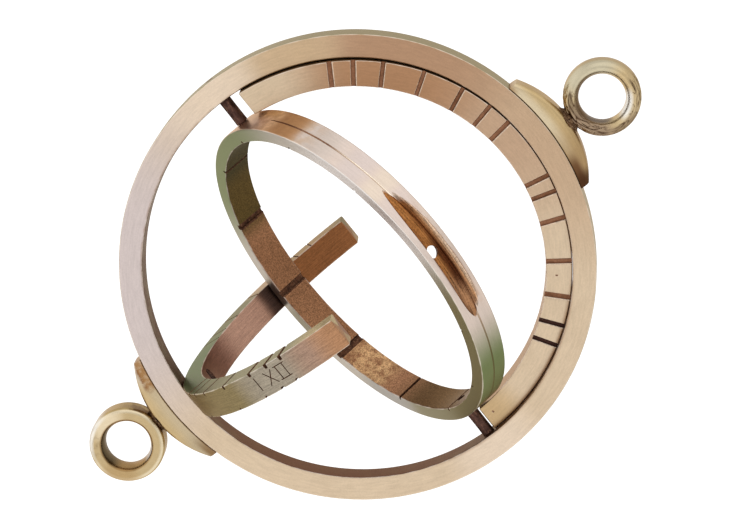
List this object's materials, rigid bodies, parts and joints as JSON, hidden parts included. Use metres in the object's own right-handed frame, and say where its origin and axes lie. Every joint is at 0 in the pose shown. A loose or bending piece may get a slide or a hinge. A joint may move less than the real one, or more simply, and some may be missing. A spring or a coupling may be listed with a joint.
{
  "type": "ring dial",
  "caption": "Hand-held hanging ring dial: a meridian ring with suspension eyes, two swinging half-rings and an inner sight ring with a pinhole turning on polar pins.",
  "frame": {"origin": "common centre of the rings, where the loop axis crosses the axis of the polar pins", "axes": "+Z along the loop axis towards the upper eye, X along the polar pins, Y square to the plane of the meridian ring with the pictured face at -Y"},
  "size_m": [0.08, 0.0709, 0.1132],
  "materials": {
    "bronze": "brushed bronze with brown patina in the recesses and on the inner walls",
    "yellow_brass": "filed and polished yellow brass with dark patina in the corners",
    "dark_bronze": "darkened bronze, dull red brown"
  },
  "bodies": {
    "frame": {"meridian_ring": "bronze", "upper_saddle": "yellow_brass", "lower_saddle": "yellow_brass", "upper_eye": "yellow_brass", "lower_eye": "yellow_brass", "left_pin": "dark_bronze", "right_pin": "dark_bronze", "upper_pivot_screw": "dark_bronze", "lower_pivot_screw": "dark_bronze", "upper_washer": "dark_bronze", "lower_washer": "dark_bronze"},
    "calendar_arc": {"calendar_arc": "bronze"},
    "hour_arc": {"hour_arc": "bronze"},
    "sight_ring": {"sight_ring": "bronze"}
  },
  "joints": [
    {"name": "calendar_swing", "type": "hinge", "parent": "frame", "child": "calendar_arc", "pos_m": [0, 0, 0.0335], "axis": [0, 0, 1], "continuous": true},
    {"name": "hour_swing", "type": "hinge", "parent": "frame", "child": "hour_arc", "pos_m": [0, 0, -0.0335], "axis": [0, 0, 1], "continuous": true},
    {"name": "sight_turn", "type": "hinge", "parent": "frame", "child": "sight_ring", "pos_m": [0, 0, 0], "axis": [1, 0, 0], "continuous": true}
  ]
}
